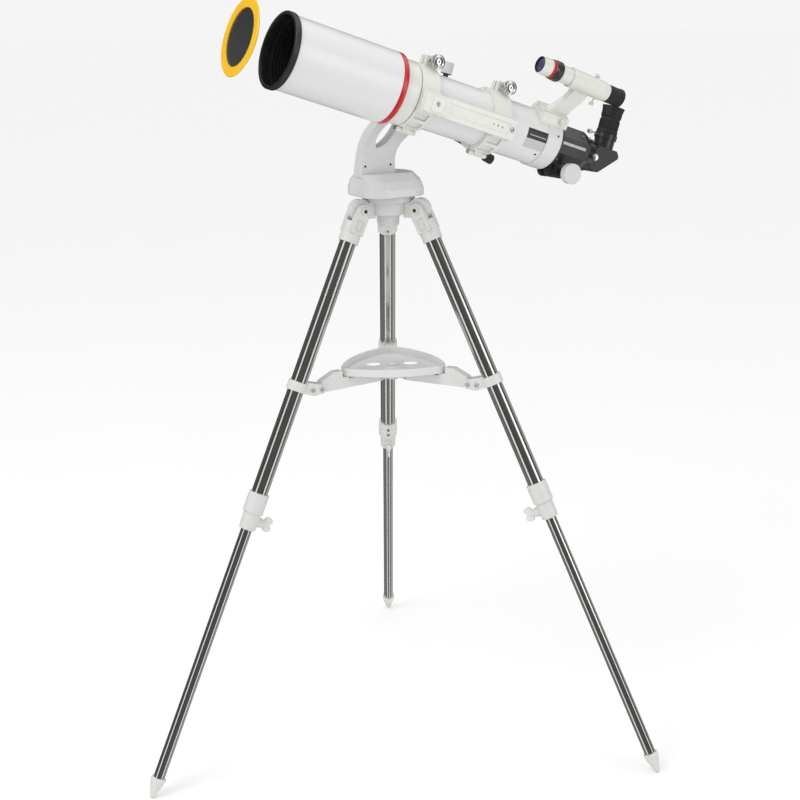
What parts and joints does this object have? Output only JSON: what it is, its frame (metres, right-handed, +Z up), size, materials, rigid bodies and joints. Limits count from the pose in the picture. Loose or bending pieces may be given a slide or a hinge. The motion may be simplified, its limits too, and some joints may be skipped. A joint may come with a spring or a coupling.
{
  "type": "refractor telescope on tripod",
  "caption": "Short refractor telescope with finder, rings, focuser and solar filter, on a one-arm alt-azimuth mount and a steel tube tripod with spreader tray.",
  "frame": {"origin": "on the tripod's vertical axis at floor level, between the three feet", "axes": "+Z up; the legs point to azimuths 90, 210 and 330 degrees; at rest the tube points 206 degrees round from +X and 18.7 degrees above the horizon"},
  "size_m": [0.9994, 0.9098, 1.4883],
  "materials": {
    "casting_grey": "satin off-white enamel over die-cast aluminium",
    "bolt_steel": "plain machined steel",
    "stainless": "polished stainless tube",
    "black_plastic": "black moulded plastic",
    "white_plastic": "white moulded plastic",
    "spreader_grey": "satin off-white enamel over die-cast aluminium",
    "tray_grey": "off-white moulded tray, fine texture",
    "mount_grey": "semi-gloss off-white enamel over die-cast aluminium",
    "chrome": "bright plated, knurled",
    "cream_white": "semi-gloss cream white enamel",
    "tube_white": "gloss white enamel",
    "black_metal": "black satin anodised and painted metal",
    "lens_glass": "coated optical glass",
    "knob_grey": "light grey knob, fine grip ribs",
    "thumb_steel": "bright steel thumb screws",
    "filter_yellow": "yellow moulded ring",
    "filter_foil": "dark metallised film"
  },
  "bodies": {
    "tripod_head": {"tripod_head": "casting_grey", "leg_pivot_bolts": "bolt_steel"},
    "leg_left": {"leg_yoke_left": "casting_grey", "upper_leg_left": "stainless", "spreader_collar_left": "casting_grey", "leg_lock_left": "casting_grey"},
    "lower_leg_left": {"lower_leg_left": "stainless", "foot_left": "white_plastic"},
    "wing_knob_left": {"wing_knob_left": "white_plastic"},
    "spreader_arm_left": {"spreader_arm_left": "spreader_grey"},
    "leg_right": {"leg_yoke_right": "casting_grey", "upper_leg_right": "stainless", "spreader_collar_right": "casting_grey", "leg_lock_right": "casting_grey"},
    "lower_leg_right": {"lower_leg_right": "stainless", "foot_right": "white_plastic"},
    "wing_knob_right": {"wing_knob_right": "white_plastic"},
    "spreader_arm_right": {"spreader_arm_right": "spreader_grey"},
    "leg_rear": {"leg_yoke_rear": "casting_grey", "upper_leg_rear": "stainless", "spreader_collar_rear": "casting_grey", "leg_lock_rear": "casting_grey"},
    "lower_leg_rear": {"lower_leg_rear": "stainless", "foot_rear": "white_plastic"},
    "wing_knob_rear": {"wing_knob_rear": "white_plastic"},
    "spreader_arm_rear": {"spreader_arm_rear": "spreader_grey"},
    "spreader": {"spreader_hub": "spreader_grey", "accessory_tray": "tray_grey"},
    "mount": {"azimuth_axle": "mount_grey", "azimuth_housing": "mount_grey", "mount_arm": "mount_grey"},
    "slow_motion_knob": {"slow_motion_knob": "black_plastic"},
    "saddle": {"altitude_axle": "bolt_steel", "saddle": "mount_grey"},
    "saddle_knob": {"saddle_knob": "chrome"},
    "telescope": {"dovetail_bar": "cream_white", "ring_fixed_halves": "cream_white", "ring_hinge_pins": "bolt_steel", "main_tube": "tube_white", "lens_cell": "cream_white", "dew_shield": "tube_white", "front_rim": "black_metal", "objective_lenses": "lens_glass", "rear_cell": "black_metal", "focuser_body": "black_metal", "finder_shoe": "cream_white", "finder_bracket": "cream_white", "finder_tube": "black_plastic", "finder_eyepiece": "black_plastic", "thumb_screws": "thumb_steel"},
    "ring_halves": {"ring_hinged_halves": "cream_white", "accessory_rail": "cream_white"},
    "ring_knob_front": {"ring_knob_front": "chrome"},
    "ring_knob_rear": {"ring_knob_rear": "chrome"},
    "drawtube": {"drawtube": "black_metal"},
    "focus_knobs": {"focus_knobs": "knob_grey"},
    "diagonal": {"star_diagonal": "black_metal", "eyepiece": "black_metal"},
    "solar_filter": {"solar_filter_ring": "filter_yellow", "solar_filter_foil": "filter_foil"}
  },
  "joints": [
    {"name": "leg_left_fold", "type": "hinge", "parent": "tripod_head", "child": "leg_left", "pos_m": [-0.05837, -0.0337, 1.0908], "axis": [0.5, -0.866, 0], "range_deg": [0, 7.3]},
    {"name": "spreader_arm_left_hinge", "type": "hinge", "parent": "leg_left", "child": "spreader_arm_left", "pos_m": [-0.14809, -0.0855, 0.755], "axis": [0.5, -0.866, 0], "range_deg": [0, 38.99]},
    {"name": "leg_left_extension", "type": "slide", "parent": "leg_left", "child": "lower_leg_left", "axis": [0.3641, 0.2102, 0.9073], "range_m": [0, 0.48]},
    {"name": "wing_knob_left_turn", "type": "hinge", "parent": "leg_left", "child": "wing_knob_left", "pos_m": [-0.26489, -0.15294, 0.50475], "axis": [0.7858, 0.4537, -0.4204], "continuous": true},
    {"name": "leg_right_fold", "type": "hinge", "parent": "tripod_head", "child": "leg_right", "pos_m": [0.05837, -0.0337, 1.0908], "axis": [0.5, 0.866, 0], "range_deg": [0, 7.3]},
    {"name": "spreader_arm_right_hinge", "type": "hinge", "parent": "leg_right", "child": "spreader_arm_right", "pos_m": [0.14809, -0.0855, 0.755], "axis": [0.5, 0.866, 0], "range_deg": [0, 38.99]},
    {"name": "leg_right_extension", "type": "slide", "parent": "leg_right", "child": "lower_leg_right", "axis": [-0.3641, 0.2102, 0.9073], "range_m": [0, 0.48]},
    {"name": "wing_knob_right_turn", "type": "hinge", "parent": "leg_right", "child": "wing_knob_right", "pos_m": [0.26489, -0.15294, 0.50475], "axis": [-0.7858, 0.4537, -0.4204], "continuous": true},
    {"name": "leg_rear_fold", "type": "hinge", "parent": "tripod_head", "child": "leg_rear", "pos_m": [0, 0.0674, 1.0908], "axis": [-1, 0, 0], "range_deg": [0, 7.3]},
    {"name": "spreader_arm_rear_hinge", "type": "hinge", "parent": "leg_rear", "child": "spreader_arm_rear", "pos_m": [0, 0.171, 0.755], "axis": [-1, 0, 0], "range_deg": [0, 38.99]},
    {"name": "leg_rear_extension", "type": "slide", "parent": "leg_rear", "child": "lower_leg_rear", "axis": [0, -0.4204, 0.9073], "range_m": [0, 0.48]},
    {"name": "wing_knob_rear_turn", "type": "hinge", "parent": "leg_rear", "child": "wing_knob_rear", "pos_m": [0, 0.30587, 0.50475], "axis": [0, -0.9073, -0.4204], "continuous": true},
    {"name": "spreader_rise", "type": "slide", "parent": "tripod_head", "child": "spreader", "axis": [0, 0, 1], "range_m": [0, 0.0896]},
    {"name": "azimuth", "type": "hinge", "parent": "tripod_head", "child": "mount", "pos_m": [0, 0, 1.1], "axis": [0, 0, 1], "continuous": true},
    {"name": "slow_motion_turn", "type": "hinge", "parent": "mount", "child": "slow_motion_knob", "pos_m": [0.21278, 0.10393, 1.16618], "axis": [-0.7865, -0.3836, 0.484], "continuous": true},
    {"name": "altitude", "type": "hinge", "parent": "mount", "child": "saddle", "pos_m": [0.0711, 0.00034, 1.28272], "axis": [-0.4384, 0.8988, 0], "range_deg": [-25, 35]},
    {"name": "saddle_knob_turn", "type": "hinge", "parent": "saddle", "child": "saddle_knob", "pos_m": [0.11168, -0.00657, 1.33474], "axis": [0.2882, 0.1405, 0.9472], "continuous": true},
    {"name": "dovetail_slide", "type": "slide", "parent": "saddle", "child": "telescope", "axis": [-0.8513, -0.4152, 0.3206], "range_m": [-0.02, 0.02]},
    {"name": "ring_opening", "type": "hinge", "parent": "telescope", "child": "ring_halves", "pos_m": [0.09493, -0.0993, 1.22321], "axis": [0.8513, 0.4152, -0.3206], "range_deg": [0, 110]},
    {"name": "ring_knob_front_turn", "type": "hinge", "parent": "ring_halves", "child": "ring_knob_front", "pos_m": [0.08496, -0.13754, 1.37022], "axis": [0.4384, -0.8988, 0], "continuous": true},
    {"name": "ring_knob_rear_turn", "type": "hinge", "parent": "ring_halves", "child": "ring_knob_rear", "pos_m": [0.22373, -0.06986, 1.31796], "axis": [0.4384, -0.8988, 0], "continuous": true},
    {"name": "focus_travel", "type": "slide", "parent": "telescope", "child": "drawtube", "axis": [0.8513, 0.4152, -0.3206], "range_m": [0, 0.035]},
    {"name": "focus_knob_turn", "type": "hinge", "parent": "telescope", "child": "focus_knobs", "pos_m": [0.32642, 0.01361, 1.15134], "axis": [-0.4384, 0.8988, 0], "range_deg": [-1, 226]},
    {"name": "diagonal_turn", "type": "hinge", "parent": "drawtube", "child": "diagonal", "pos_m": [0.40013, 0.04956, 1.17531], "axis": [-0.8513, -0.4152, 0.3206], "continuous": true},
    {"name": "solar_filter_slide", "type": "slide", "parent": "telescope", "child": "solar_filter", "axis": [0.8513, 0.4152, -0.3206], "range_m": [0, 0.069]}
  ],
  "couplings": [
    {"joint": "spreader_arm_left_hinge", "follows": "leg_left_fold", "ratio": 5.2724},
    {"joint": "spreader_arm_right_hinge", "follows": "leg_left_fold", "ratio": 5.2724},
    {"joint": "leg_right_fold", "follows": "leg_left_fold", "ratio": 1},
    {"joint": "spreader_arm_rear_hinge", "follows": "leg_left_fold", "ratio": 5.2724},
    {"joint": "leg_rear_fold", "follows": "leg_left_fold", "ratio": 1},
    {"joint": "spreader_rise", "follows": "leg_left_fold", "m_per_rad": 0.69527},
    {"joint": "focus_knob_turn", "follows": "focus_travel", "rad_per_m": 111.11}
  ]
}
